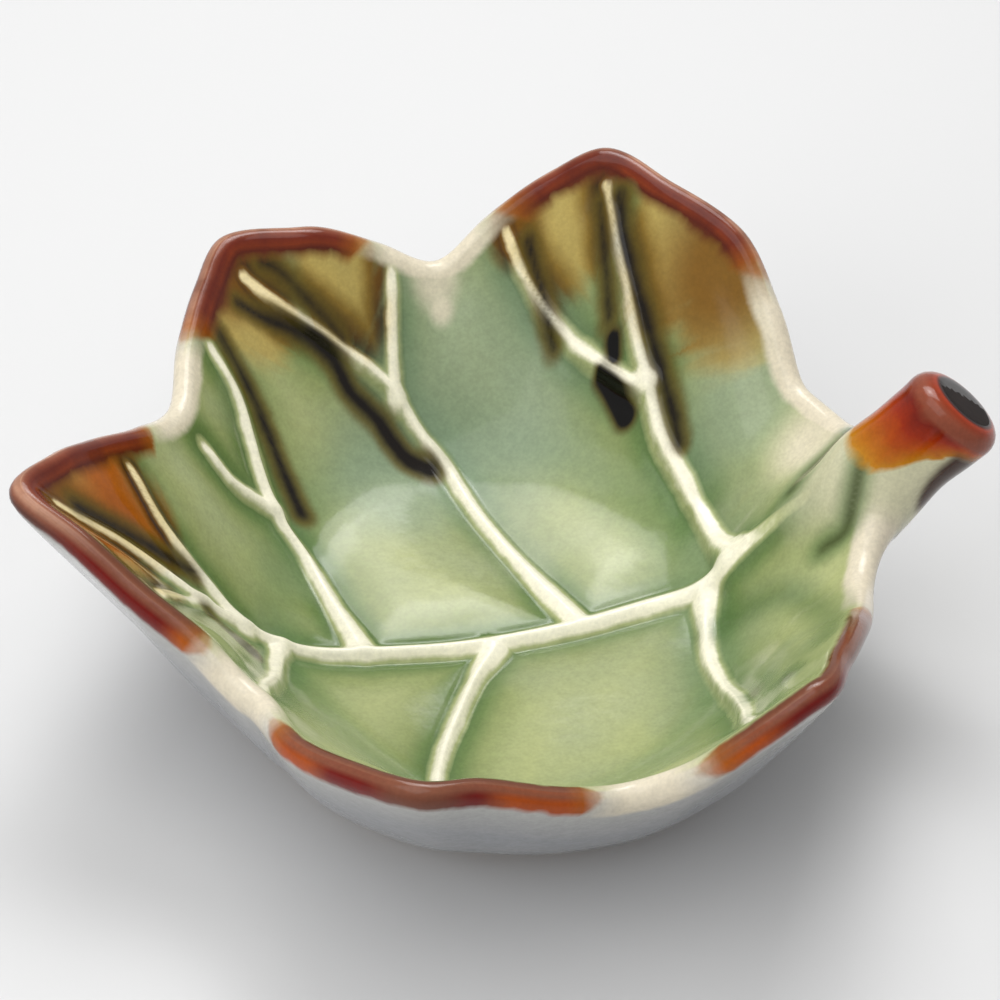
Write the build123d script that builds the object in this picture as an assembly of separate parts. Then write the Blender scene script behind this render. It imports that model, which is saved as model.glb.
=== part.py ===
from build123d import *
import math
import os

# Ring dish: a fired and glazed clay dish in the shape of a five-lobed leaf, with a stalk for a handle.
# The leaf lies along X: its apex points to -X and its stalk to +X. The table is at z = 0, under the foot,
# and the origin is below the middle of the whole piece.
# Every length here is in millimetres.

# The body: a bowl with a flat oval floor, walls that flare out to the lobes, and a rounded lip.
leaf_reach = 60.0
lobe_rise = 36.5
wall = 3.4
flare_length = 33.0
flare_width = 25.5
floor_shift = 1.0
floor_turn = 2.6
belly_swell_length = 10.0
belly_swell_width = 5.0
belly_shift = 1.5

# The foot: a thin standing ring left bare of glaze.
foot_height = 2.6
foot_inset = 8.0
foot_width = 3.2
foot_edge_round = 0.6

# The stalk: a thick round handle, luted over the lip and down the inside of the wall.
stalk_overhang = 9.9
stalk_stand = 12.0
stalk_end_side = 2.4
stalk_root_run = 6.0
stalk_root_rise = 5.0
stalk_root_radius = 2.2
stalk_neck_radius = 6.4
stalk_end_radius = 6.7
stalk_end_round = 2.4

# The veins: beads of slip, trailed over the inside.
midrib_width = 3.2
rib_width = 2.2
twig_width = 1.7
midrib_height = 1.1
rib_height = 0.85
twig_height = 0.7
vein_tip_width = 0.9
vein_step = 3.0
VEIN_LEAST_STATIONS = 5

# The outline of the lip: an angle from the stalk in degrees, the lip's reach from the centre and its rise
# over the floor, as shares of leaf_reach and lobe_rise. The far side goes round by +Y, the near side by -Y.
FAR_LIP_SHARES = [
    (0, 0.812, 0.630), (12, 0.818, 0.590), (22.5, 0.813, 0.575), (33, 0.866, 0.745), (43, 0.924, 0.915),
    (54, 0.950, 0.974), (63, 1.000, 1.000), (70.5, 0.967, 0.890), (78, 0.912, 0.752), (86, 0.850, 0.618),
    (94, 0.870, 0.706), (105, 0.897, 0.811), (114.5, 0.955, 0.805), (122, 0.893, 0.745), (130, 0.823, 0.680),
    (143, 0.733, 0.613), (154, 0.755, 0.702), (165, 0.825, 0.832), (172.5, 0.893, 0.922), (180, 0.973, 0.967)]
NEAR_LIP_SHARES = [
    (10, 0.787, 0.589), (21, 0.763, 0.548), (33, 0.784, 0.644), (43, 0.818, 0.786), (54, 0.877, 0.904),
    (63.5, 0.950, 0.986), (70.5, 0.930, 0.890), (78, 0.883, 0.712), (86, 0.840, 0.616), (94, 0.857, 0.663),
    (105, 0.887, 0.751), (112, 0.933, 0.784), (121, 0.887, 0.734), (131, 0.823, 0.658), (144, 0.730, 0.603),
    (154, 0.747, 0.690), (165, 0.820, 0.808), (172.5, 0.890, 0.904)]

# How the wall's thickness is shared about the lip line: inwards, outwards and downwards.
LIP_INNER_SHARE = 0.55
LIP_OUTER_SHARE = 0.45
LIP_DROP_SHARE = 0.42

# The rings of the body, as shares of the way: over the flat of the base and of the floor, and from the turn
# to the lip.
BASE_SHARES = (0.82, 0.91)
FLAT_SHARES = (0.52, 0.68, 0.84)
WALL_SHARES = (0.00, 0.17, 0.34, 0.51, 0.68, 0.84, 0.94, 1.00)
LIP_ROUND_ANGLES = (45, 90, 135)

# The stalk's path from root to end, as shares of the way along, aside and up, and its radii between the
# ends as shares of the neck's.
STALK_PATH_SHARES = [
    (0, 0, 0), (0.25, 0.06, 0.15), (0.43, 0.17, 0.34), (0.60, 0.36, 0.54), (0.76, 0.60, 0.73), (0.89, 0.83, 0.87),
    (1, 1, 1)]
STALK_RADIUS_SHARES = (0.66, 0.81, 0.95, 0.98, 1.01)
SLOPE_STEP_SHARE = 0.03

# The veins in plan, as shares of leaf_reach along X and Y, each from its root to its tip. The midrib's own
# root is the stalk's.
MIDRIB_SHARES = [
    (0.36, 0.024), (0.16, -0.005), (-0.055, -0.02), (-0.255, -0.01),
    (-0.405, -0.003), (-0.50, 0.0), (-0.595, -0.005), (-0.68, 0.008), (-0.77, 0.012), (-0.875, 0.0)]
RIB_SHARES = {
    "rib_far_front": [(0.545, 0.02), (0.525, 0.14), (0.50, 0.287), (0.47, 0.405), (0.463, 0.50),
                      (0.453, 0.57), (0.447, 0.65), (0.44, 0.74), (0.436, 0.82)],
    "rib_far_back": [(0.20, 0.02), (0.135, 0.185), (0.073, 0.37), (0.032, 0.525), (-0.01, 0.59),
                     (-0.06, 0.652), (-0.11, 0.682), (-0.175, 0.702), (-0.277, 0.75), (-0.375, 0.80)],
    "rib_far_notch": [(-0.265, -0.005), (-0.297, 0.14), (-0.33, 0.277), (-0.372, 0.35), (-0.40, 0.42),
                      (-0.415, 0.50), (-0.43, 0.57), (-0.475, 0.625)],
    "rib_far_apex": [(-0.52, 0.0), (-0.573, 0.045), (-0.62, 0.08), (-0.678, 0.13), (-0.72, 0.20)],
    "rib_near_back": [(0.02, -0.01), (-0.05, -0.115), (-0.105, -0.21), (-0.16, -0.315), (-0.203, -0.43),
                      (-0.232, -0.57), (-0.252, -0.70), (-0.268, -0.80)],
    "rib_near_front": [(0.475, 0.01), (0.448, -0.09), (0.43, -0.19), (0.424, -0.30), (0.415, -0.42),
                       (0.39, -0.54), (0.355, -0.66), (0.325, -0.76)],
    "rib_near_notch": [(-0.445, -0.005), (-0.468, -0.09), (-0.495, -0.20), (-0.53, -0.30), (-0.555, -0.38)],
    "rib_near_apex": [(-0.61, -0.004), (-0.648, -0.06), (-0.69, -0.12), (-0.725, -0.18)]}
TWIG_SHARES = {
    "twig_far_front": ("rib_far_front", [(0.463, 0.495), (0.425, 0.525), (0.39, 0.568), (0.308, 0.675),
                                         (0.243, 0.787), (0.22, 0.84)]),
    "twig_far_back": ("rib_far_back", [(-0.06, 0.65), (-0.058, 0.70), (-0.053, 0.75), (-0.042, 0.81)]),
    "twig_far_notch": ("rib_far_notch", [(-0.385, 0.375), (-0.43, 0.368), (-0.48, 0.366), (-0.53, 0.395)])}


# The lip's key angles with its reach and rise, once round from -180 degrees.
def lip_keys():
    near = [(-angle, reach * leaf_reach, rise * lobe_rise) for angle, reach, rise in reversed(NEAR_LIP_SHARES)]
    far = [(angle, reach * leaf_reach, rise * lobe_rise) for angle, reach, rise in FAR_LIP_SHARES]
    return near + far


LIP_KEYS = lip_keys()


# The lip's reach (column 1) or rise (column 2) at an angle: a smooth curve through the key angles.
def along_lip(angle, column):
    keys = LIP_KEYS
    count = len(keys)
    turned = (angle + 180) % 360 - 180
    if turned <= keys[0][0]:
        turned += 360
    last = max(i for i in range(count) if keys[i][0] < turned)

    def key(i):
        return keys[i % count][0] + 360 * (i // count), keys[i % count][column]

    def slope(i):
        (before_at, before), (at, value), (after_at, after) = key(i - 1), key(i), key(i + 1)
        fall, climb = (value - before) / (at - before_at), (after - value) / (after_at - at)
        return 2 * fall * climb / (fall + climb) if fall * climb > 0 else 0.0

    (start_at, start), (end_at, end) = key(last), key(last + 1)
    span = end_at - start_at
    t = (turned - start_at) / span
    return ((1 + 2 * t) * (1 - t) ** 2 * start + t * (1 - t) ** 2 * span * slope(last)
            + t * t * (3 - 2 * t) * end + t * t * (t - 1) * span * slope(last + 1))


# How far an oval that is shifted along X reaches from the centre at an angle.
def oval_reach(angle, half_length, half_width, shift):
    c, s = math.cos(math.radians(angle)), math.sin(math.radians(angle))
    square = (c / half_length) ** 2 + (s / half_width) ** 2
    line = -2 * shift * c / half_length ** 2
    rest = (shift / half_length) ** 2 - 1
    return (-line + math.sqrt(line * line - 4 * square * rest)) / (2 * square)


# A bend of a set softness from zero into a straight rise.
def soft_bend(run):
    return floor_turn * math.log1p(math.exp(run / floor_turn))


# The flares leave an oval for the floor, and the belly of the outside swells past it.
floor_half_length = leaf_reach - flare_length
floor_half_width = leaf_reach - flare_width
belly_half_length = floor_half_length + belly_swell_length
belly_half_width = floor_half_width + belly_swell_width
base_z = foot_height
floor_z = foot_height + wall


# The inner face's lip edge, floor turn and heights at an angle.
def inner_edge(angle):
    reach = along_lip(angle, 1) - LIP_INNER_SHARE * wall
    turn = oval_reach(angle, floor_half_length, floor_half_width, floor_shift)
    return reach, turn, floor_z, foot_height + along_lip(angle, 2)


# The same of the outer face.
def outer_edge(angle):
    reach = along_lip(angle, 1) + LIP_OUTER_SHARE * wall
    turn = oval_reach(angle, belly_half_length, belly_half_width, belly_shift)
    return reach, turn, base_z, foot_height + along_lip(angle, 2) - LIP_DROP_SHARE * wall


# The height of a face at a run from the centre.
def face_height(edge, run):
    reach, turn, low, high = edge
    return low + (high - low) * soft_bend(run - turn) / soft_bend(reach - turn)


def polar(angle, run, z):
    return Vector(run * math.cos(math.radians(angle)), run * math.sin(math.radians(angle)), z)


def ring_angles():
    keys = [key[0] for key in LIP_KEYS]
    nexts = keys[1:] + [keys[0] + 360]
    return [a for here, there in zip(keys, nexts) for a in (here, (here + there) / 2)]


# Every ring is one closed curve with the same knots, at the ring angles, so that the skin stays smooth.
def ring_wire(points):
    angles = ring_angles()
    return Wire([Edge.make_spline(points, periodic=True, parameters=[*angles, angles[0] + 360])])


# A flat ring of the floor or the base, well inside the turn.
def flat_ring(edge_at, share, z):
    return ring_wire([polar(a, edge_at(a)[1] * share, z) for a in ring_angles()])


# A ring close to the turn, where the face starts to rise.
def turn_ring(edge_at, share):
    points = []
    for a in ring_angles():
        edge = edge_at(a)
        points.append(polar(a, edge[1] * share, face_height(edge, edge[1] * share)))
    return ring_wire(points)


# A ring of the wall, at a share of the way from the turn to the lip.
def wall_ring(edge_at, share):
    points = []
    for a in ring_angles():
        edge = edge_at(a)
        run = edge[1] + (edge[0] - edge[1]) * share
        points.append(polar(a, run, face_height(edge, run)))
    return ring_wire(points)


# A ring of the rounded lip, at an angle from the inner face over the top to the outer one.
def lip_ring(turn_angle):
    points = []
    for a in ring_angles():
        inner, outer = inner_edge(a), outer_edge(a)
        middle_run, middle_z = (inner[0] + outer[0]) / 2, (inner[3] + outer[3]) / 2
        half_run, half_z = (inner[0] - outer[0]) / 2, (inner[3] - outer[3]) / 2
        c, s = math.cos(math.radians(turn_angle)), math.sin(math.radians(turn_angle))
        points.append(polar(a, middle_run + half_run * c + half_z * s, middle_z + half_z * c - half_run * s))
    return ring_wire(points)


# The body runs in one skin from the base over the lip to the floor.
def make_body():
    rings = [flat_ring(outer_edge, BASE_SHARES[0], base_z)]
    rings += [turn_ring(outer_edge, share) for share in BASE_SHARES[1:]]
    rings += [wall_ring(outer_edge, share) for share in WALL_SHARES]
    rings += [lip_ring(turn) for turn in reversed(LIP_ROUND_ANGLES)]
    rings += [wall_ring(inner_edge, share) for share in reversed(WALL_SHARES)]
    rings += [turn_ring(inner_edge, share) for share in reversed(FLAT_SHARES[1:])]
    rings += [flat_ring(inner_edge, FLAT_SHARES[0], floor_z)]
    return Solid.make_loft(rings)


# The foot stands under the flat of the base and meets it face to face.
def make_foot():
    middle = Plane((belly_shift, 0, 0))
    half_length, half_width = belly_half_length - foot_inset, belly_half_width - foot_inset
    outer = Face(Wire.make_ellipse(half_length, half_width, middle))
    inner = Face(Wire.make_ellipse(half_length - foot_width, half_width - foot_width, middle))
    ring = extrude(outer - inner, amount=foot_height)
    under = [edge for edge in ring.edges() if edge.center().Z < foot_edge_round]
    return fillet(under, foot_edge_round).solid()


# A plane square to a path, with its X axis as near to a set direction as the path allows.
def square_plane(at, along, towards):
    side = towards - along * towards.dot(along)
    return Plane(origin=at, x_dir=side, z_dir=along)


# The direction of a path at one of its points.
def path_direction(points, i):
    return (points[min(i + 1, len(points) - 1)] - points[max(i - 1, 0)]).normalized()


# The stalk's root lies on the wall just past the floor, and its end stands out over the lip.
stalk_root = Vector(floor_shift + floor_half_length + stalk_root_run, 0, floor_z + stalk_root_rise)
stalk_end = Vector(along_lip(0, 1) + stalk_overhang, -stalk_end_side, base_z + along_lip(0, 2) + stalk_stand)


# The stalk is a loft of rounds along its own path; the body takes its bed out of it.
def make_stalk(body):
    root, way = stalk_root, stalk_end - stalk_root
    points = [root + Vector(way.X * run, way.Y * side, way.Z * rise) for run, side, rise in STALK_PATH_SHARES]
    radii = [stalk_root_radius, *[stalk_neck_radius * share for share in STALK_RADIUS_SHARES], stalk_end_radius]
    wires = []
    for i, (point, radius) in enumerate(zip(points, radii)):
        along = path_direction(points, i)
        wires.append(Wire.make_circle(radius, square_plane(point, along, Vector(0, 1, 0))))
    stalk = Solid.make_loft(wires)
    end_edge = max(stalk.edges(), key=lambda edge: edge.center().X)
    stalk = fillet(end_edge, stalk_end_round)
    return (stalk - body).solid()


# A point of the inner face over a place in plan, with the face's direction there.
def inner_face(x, y):
    def height(px, py):
        return face_height(inner_edge(math.degrees(math.atan2(py, px))), math.hypot(px, py))

    step = wall * SLOPE_STEP_SHARE
    rise_x = (height(x + step, y) - height(x - step, y)) / (2 * step)
    rise_y = (height(x, y + step) - height(x, y - step)) / (2 * step)
    return Vector(x, y, height(x, y)), Vector(-rise_x, -rise_y, 1).normalized()


# The points of a path in plan, from its shares.
def plan_points(shares):
    return [Vector(x * leaf_reach, y * leaf_reach) for x, y in shares]


# A bead of slip along a path in plan: round in section and half sunk in the face that carries it.
def make_bead(path, root_width, tip_width, height):
    plan = Edge.make_spline(path)
    count = max(VEIN_LEAST_STATIONS, round(plan.length / vein_step) + 1)
    stops = [plan.position_at(i / (count - 1)) for i in range(count)]
    places = [inner_face(stop.X, stop.Y) for stop in stops]
    wires = []
    for i, (point, up) in enumerate(places):
        along = path_direction([place[0] for place in places], i)
        width = root_width + (tip_width - root_width) * i / (count - 1)
        stand = height * math.sqrt(width / root_width)
        radius = (width * width / 4 + stand * stand) / (2 * stand)
        middle = point - up * (radius - stand)
        wires.append(Wire.make_circle(radius, square_plane(middle, along, up)))
    return Solid.make_loft(wires)


# A bead less all that it lies on or runs into.
def seated(bead, *others):
    for other in others:
        bead = bead - other
    return max(bead.solids(), key=lambda solid: solid.volume)


body = make_body()
foot = make_foot()
stalk = make_stalk(body)
midrib_path = [Vector(stalk_root.X, 0), *plan_points(MIDRIB_SHARES)]
midrib = seated(make_bead(midrib_path, midrib_width, vein_tip_width, midrib_height), body, stalk)
nodes = {"leaf_bowl": body, "foot_ring": foot, "stalk": stalk, "midrib": midrib}
for name, shares in RIB_SHARES.items():
    bead = make_bead(plan_points(shares), rib_width, vein_tip_width, rib_height)
    nodes[name] = seated(bead, body, stalk, midrib)
for name, (parent, shares) in TWIG_SHARES.items():
    bead = make_bead(plan_points(shares), twig_width, vein_tip_width, twig_height)
    nodes[name] = seated(bead, body, nodes[parent])

# The pieces that reach furthest set the middle.
boxes = [body.bounding_box(), stalk.bounding_box()]
middle_x = (min(box.min.X for box in boxes) + max(box.max.X for box in boxes)) / 2
middle_y = (min(box.min.Y for box in boxes) + max(box.max.Y for box in boxes)) / 2
print(f"The well's centre lies {-middle_x:.3f} mm along X and {-middle_y:.3f} mm along Y from the origin.")

os.makedirs("parts", exist_ok=True)
for name, solid in nodes.items():
    export_step(solid.moved(Location((-middle_x, -middle_y, 0))), f"parts/{name}.step")
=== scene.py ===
import math
import bpy
import numpy as np
from mathutils import Matrix, Vector
from mathutils.bvhtree import BVHTree
from mathutils.kdtree import KDTree


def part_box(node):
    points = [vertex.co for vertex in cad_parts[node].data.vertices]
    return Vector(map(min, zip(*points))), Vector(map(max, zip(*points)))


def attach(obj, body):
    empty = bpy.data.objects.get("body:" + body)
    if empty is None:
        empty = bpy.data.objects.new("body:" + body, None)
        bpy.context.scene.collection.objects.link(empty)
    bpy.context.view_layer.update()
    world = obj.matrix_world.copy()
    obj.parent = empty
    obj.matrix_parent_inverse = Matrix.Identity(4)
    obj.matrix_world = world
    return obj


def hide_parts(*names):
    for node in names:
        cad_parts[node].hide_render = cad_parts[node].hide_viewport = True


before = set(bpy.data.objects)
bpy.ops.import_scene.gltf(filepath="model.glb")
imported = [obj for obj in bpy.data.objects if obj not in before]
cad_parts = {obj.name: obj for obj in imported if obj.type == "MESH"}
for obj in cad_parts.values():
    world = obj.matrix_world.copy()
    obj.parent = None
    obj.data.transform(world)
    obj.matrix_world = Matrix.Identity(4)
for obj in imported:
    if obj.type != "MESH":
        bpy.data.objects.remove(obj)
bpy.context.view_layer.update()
MM = 0.001

# The dish itself: a slab of stoneware pressed over a leaf-shaped mould, with a flat oval floor, flaring
# lobes and a rounded lip, the stalk luted over the lip and the veins trailed on in slip. It was glazed and
# fired as one piece, so its bowl, stalk and veins are one skin here.
WALL = 3.4
FOOT_HEIGHT = 2.6
LEAF_REACH = 60.0
LOBE_RISE = 36.5
FLOOR_TURN = 2.6
LIP_INNER_SHARE, LIP_OUTER_SHARE, LIP_DROP_SHARE = 0.55, 0.45, 0.42

# The flat floor and the belly under it are ovals: half a length, half a width and a shift towards the stalk.
BELLY_SHIFT = 1.5
BELLY = (37.0, 39.5, BELLY_SHIFT)
FLOOR = (27.0, 34.5, 1.0)

# The well's centre in the frame's plan: the foot stands round it, shifted as the belly is.
foot_low, foot_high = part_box("foot_ring")
WELL_X = (foot_low[0] + foot_high[0]) / 2 / MM - BELLY_SHIFT
WELL_Y = (foot_low[1] + foot_high[1]) / 2 / MM

# The lip: an angle from the stalk in degrees, and the lip's reach and rise as shares of the leaf's.
FAR_LIP_SHARES = [
    (0, 0.812, 0.630), (12, 0.818, 0.590), (22.5, 0.813, 0.575), (33, 0.866, 0.745), (43, 0.924, 0.915),
    (54, 0.950, 0.974), (63, 1.000, 1.000), (70.5, 0.967, 0.890), (78, 0.912, 0.752), (86, 0.850, 0.618),
    (94, 0.870, 0.706), (105, 0.897, 0.811), (114.5, 0.955, 0.805), (122, 0.893, 0.745), (130, 0.823, 0.680),
    (143, 0.733, 0.613), (154, 0.755, 0.702), (165, 0.825, 0.832), (172.5, 0.893, 0.922),
    (180, 0.973, 0.967)]
NEAR_LIP_SHARES = [
    (10, 0.787, 0.589), (21, 0.763, 0.548), (33, 0.784, 0.644), (43, 0.818, 0.786), (54, 0.877, 0.904),
    (63.5, 0.950, 0.986), (70.5, 0.930, 0.890), (78, 0.883, 0.712), (86, 0.840, 0.616), (94, 0.857, 0.663),
    (105, 0.887, 0.751), (112, 0.933, 0.784), (121, 0.887, 0.734), (131, 0.823, 0.658), (144, 0.730, 0.603),
    (154, 0.747, 0.690), (165, 0.820, 0.808), (172.5, 0.890, 0.904)]
lip_keys = np.array(
    [(-angle, reach, rise) for angle, reach, rise in reversed(NEAR_LIP_SHARES)] + FAR_LIP_SHARES)


def along_lip(angle, column):
    """The lip's reach (column 1) or rise (column 2) at angles in degrees: a smooth curve, no overshoot."""
    at = np.concatenate([lip_keys[:, 0] - 360, lip_keys[:, 0], lip_keys[:, 0] + 360])
    value = np.tile(lip_keys[:, column], 3) * (LEAF_REACH if column == 1 else LOBE_RISE)
    grade = np.diff(value) / np.diff(at)
    fall, climb = grade[:-1], grade[1:]
    steady = fall * climb > 0
    slope = np.zeros(len(at))
    slope[1:-1][steady] = 2 * fall[steady] * climb[steady] / (fall + climb)[steady]
    i = np.clip(np.searchsorted(at, angle, side="right") - 1, 0, len(at) - 2)
    span = at[i + 1] - at[i]
    t = (angle - at[i]) / span
    return ((1 + 2 * t) * (1 - t) ** 2 * value[i] + t * (1 - t) ** 2 * span * slope[i]
            + t * t * (3 - 2 * t) * value[i + 1] + t * t * (t - 1) * span * slope[i + 1])


def oval_reach(angle, half_length, half_width, shift):
    """How far an oval shifted along X reaches from the well's centre."""
    c, s = np.cos(np.radians(angle)), np.sin(np.radians(angle))
    square = (c / half_length) ** 2 + (s / half_width) ** 2
    line = -2 * shift * c / half_length ** 2
    rest = (shift / half_length) ** 2 - 1
    return (-line + np.sqrt(line * line - 4 * square * rest)) / (2 * square)


def flare(angle, run, reach, oval, low, high):
    """A face's height: flat inside an oval, then bending up, until it stands at high at its reach."""
    turn = oval_reach(angle, *oval)
    bend = np.logaddexp(0, (run - turn) / FLOOR_TURN) / np.logaddexp(0, (reach - turn) / FLOOR_TURN)
    return low + (high - low) * bend


def inner_face(angle, run):
    """The bare height of the inside, before veins and pillows."""
    reach = along_lip(angle, 1) - LIP_INNER_SHARE * WALL
    return flare(angle, run, reach, FLOOR, FOOT_HEIGHT + WALL, FOOT_HEIGHT + along_lip(angle, 2))


def outer_face(angle, run):
    """The height of the outside."""
    reach = along_lip(angle, 1) + LIP_OUTER_SHARE * WALL
    high = FOOT_HEIGHT + along_lip(angle, 2) - LIP_DROP_SHARE * WALL
    return flare(angle, run, reach, BELLY, FOOT_HEIGHT, high)


# The skin starts as a flat grid: across it is once round the leaf, and up it is the way from the middle of
# the floor up the wall, over the lip and down the outside to the middle of the base.
ROUND_STEPS = 512
FLOOR_TO_LIP_STEPS, LIP_STEPS, LIP_TO_BASE_STEPS = 140, 9, 24
WAY_STEPS = FLOOR_TO_LIP_STEPS + LIP_STEPS + LIP_TO_BASE_STEPS
WAY_SAMPLES = 300
bpy.ops.object.select_all(action="DESELECT")
bpy.ops.mesh.primitive_grid_add(x_subdivisions=ROUND_STEPS, y_subdivisions=WAY_STEPS, size=2)
dish = bpy.context.object
dish.name = "leaf_dish"


def read_points(obj):
    """The points of a mesh, one to a row."""
    points = np.empty(len(obj.data.vertices) * 3)
    obj.data.vertices.foreach_get("co", points)
    return points.reshape(-1, 3)


def write_points(obj, points):
    """Moves the points of a mesh to their new places."""
    obj.data.vertices.foreach_set("co", np.ascontiguousarray(points).ravel())
    obj.data.update()


grid = read_points(dish)
across = np.rint((grid[:, 0] + 1) / 2 * ROUND_STEPS).astype(int)
up = np.rint((grid[:, 1] + 1) / 2 * WAY_STEPS).astype(int)
angle = -180 + 360 * (across % ROUND_STEPS) / ROUND_STEPS


def even_runs(face, start, end, steps):
    """Runs from start to end for every angle of the grid, evenly spaced along the face itself."""
    angles = -180 + 360 * np.arange(ROUND_STEPS) / ROUND_STEPS
    fine = np.linspace(0, 1, WAY_SAMPLES)[:, None]
    runs = start(angles) + (end(angles) - start(angles)) * fine
    heights = face(angles[None, :], runs)
    lengths = np.cumsum(np.hypot(np.diff(runs, axis=0), np.diff(heights, axis=0)), axis=0)
    lengths = np.vstack([np.zeros(ROUND_STEPS), lengths])
    stops = np.linspace(0, 1, steps + 1)
    return np.array([np.interp(stops * lengths[-1, k], lengths[:, k], runs[:, k])
                     for k in range(ROUND_STEPS)])


def nowhere(angles):
    """The middle of the dish, where every way starts or ends."""
    return np.zeros_like(angles)


def inner_lip(angles):
    """How far the inside reaches before the lip rounds over."""
    return along_lip(angles, 1) - LIP_INNER_SHARE * WALL


def outer_lip(angles):
    """How far the outside reaches when the lip has rounded over."""
    return along_lip(angles, 1) + LIP_OUTER_SHARE * WALL


inner_runs = even_runs(inner_face, nowhere, inner_lip, FLOOR_TO_LIP_STEPS)
outer_runs = even_runs(outer_face, outer_lip, nowhere, LIP_TO_BASE_STEPS)
run = np.zeros(len(grid))
height = np.zeros(len(grid))
on_inside = up <= FLOOR_TO_LIP_STEPS
on_outside = up >= FLOOR_TO_LIP_STEPS + LIP_STEPS
on_lip = ~on_inside & ~on_outside
run[on_inside] = inner_runs[across[on_inside] % ROUND_STEPS, up[on_inside]]
height[on_inside] = inner_face(angle[on_inside], run[on_inside])
steps_down = up[on_outside] - FLOOR_TO_LIP_STEPS - LIP_STEPS
run[on_outside] = outer_runs[across[on_outside] % ROUND_STEPS, steps_down]
height[on_outside] = outer_face(angle[on_outside], run[on_outside])
lip_turn = np.pi * (up[on_lip] - FLOOR_TO_LIP_STEPS) / LIP_STEPS
inner_end, outer_end = inner_lip(angle[on_lip]), outer_lip(angle[on_lip])
inner_top, outer_top = inner_face(angle[on_lip], inner_end), outer_face(angle[on_lip], outer_end)
half_run, half_top = (inner_end - outer_end) / 2, (inner_top - outer_top) / 2
run[on_lip] = (inner_end + outer_end) / 2 + half_run * np.cos(lip_turn) + half_top * np.sin(lip_turn)
height[on_lip] = (inner_top + outer_top) / 2 + half_top * np.cos(lip_turn) - half_run * np.sin(lip_turn)
x, y = run * np.cos(np.radians(angle)), run * np.sin(np.radians(angle))

# The veins in plan, as shares of the leaf's reach, each from its root to its tip, with its width at the root
# and how far it stands up.
MIDRIB_WIDTH, RIB_WIDTH, TWIG_WIDTH, TIP_WIDTH = 3.4, 1.7, 1.3, 0.8
MIDRIB_STAND, RIB_STAND, TWIG_STAND = 1.4, 1.05, 0.85
MIDRIB_SHARES = [
    (0.66, -0.012), (0.62, -0.002), (0.56, 0.008), (0.47, 0.018), (0.36, 0.024), (0.16, -0.005),
    (-0.055, -0.02), (-0.255, -0.01), (-0.405, -0.003), (-0.50, 0.0), (-0.595, -0.005), (-0.68, 0.008),
    (-0.77, 0.012), (-0.90, 0.0)]
RIB_SHARES = [
    [(0.545, 0.02), (0.525, 0.14), (0.50, 0.287), (0.47, 0.405), (0.463, 0.50), (0.453, 0.57), (0.447, 0.65),
     (0.44, 0.74), (0.436, 0.83)],
    [(0.20, 0.02), (0.135, 0.185), (0.073, 0.37), (0.032, 0.525), (-0.01, 0.59), (-0.06, 0.652),
     (-0.11, 0.682), (-0.175, 0.702), (-0.277, 0.75), (-0.375, 0.80)],
    [(-0.265, -0.005), (-0.297, 0.14), (-0.33, 0.277), (-0.372, 0.35), (-0.40, 0.42), (-0.415, 0.50),
     (-0.43, 0.57), (-0.475, 0.63)],
    [(-0.52, 0.0), (-0.573, 0.045), (-0.62, 0.08), (-0.678, 0.13), (-0.72, 0.20)],
    [(0.01, -0.035), (-0.05, -0.115), (-0.105, -0.21), (-0.16, -0.315), (-0.203, -0.43), (-0.232, -0.57),
     (-0.252, -0.70), (-0.268, -0.80)],
    [(0.475, 0.01), (0.448, -0.09), (0.43, -0.19), (0.424, -0.30), (0.415, -0.42), (0.39, -0.54),
     (0.355, -0.66), (0.325, -0.76)],
    [(-0.445, -0.005), (-0.468, -0.09), (-0.495, -0.20), (-0.53, -0.30), (-0.555, -0.38)]]
TWIG_SHARES = [
    [(-0.61, -0.004), (-0.648, -0.06), (-0.69, -0.12), (-0.725, -0.18)],
    [(0.463, 0.495), (0.425, 0.525), (0.39, 0.568), (0.308, 0.675), (0.243, 0.787), (0.22, 0.85)],
    [(-0.06, 0.65), (-0.058, 0.70), (-0.053, 0.75), (-0.042, 0.82)],
    [(-0.385, 0.375), (-0.43, 0.368), (-0.48, 0.366), (-0.53, 0.395)]]
VEINS = [(MIDRIB_WIDTH, MIDRIB_STAND, MIDRIB_SHARES)]
VEINS += [(RIB_WIDTH, RIB_STAND, shares) for shares in RIB_SHARES]
VEINS += [(TWIG_WIDTH, TWIG_STAND, shares) for shares in TWIG_SHARES]


def smooth_line(keys, steps=8):
    """A line through the points of a path, rounded at them."""
    keys = np.array(keys, dtype=float)
    padded = np.vstack([2 * keys[0] - keys[1], keys, 2 * keys[-1] - keys[-2]])
    line = []
    for i in range(1, len(padded) - 2):
        before, here, there, after = padded[i - 1:i + 3]
        for t in np.arange(steps) / steps:
            line.append(0.5 * (2 * here + (there - before) * t
                               + (2 * before - 5 * here + 4 * there - after) * t ** 2
                               + (3 * here - before - 3 * there + after) * t ** 3))
    return np.vstack([line, keys[-1]])


def off_line(px, py, line):
    """Each point's distance from a line, and how far along the line its nearest place is, from 0 to 1."""
    nearest = np.full(len(px), np.inf)
    along = np.zeros(len(px))
    for i in range(len(line) - 1):
        (ax, ay), (bx, by) = line[i], line[i + 1]
        dx, dy = bx - ax, by - ay
        t = np.clip(((px - ax) * dx + (py - ay) * dy) / (dx * dx + dy * dy), 0, 1)
        away = np.hypot(px - ax - t * dx, py - ay - t * dy)
        closer = away < nearest
        nearest[closer] = away[closer]
        along[closer] = (i + t[closer]) / (len(line) - 1)
    return nearest, along


def ease(low, high, value):
    """A soft step: 0 at low and before it, 1 at high and past it."""
    t = np.clip((value - low) / (high - low), 0, 1)
    return t * t * (3 - 2 * t)


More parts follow.
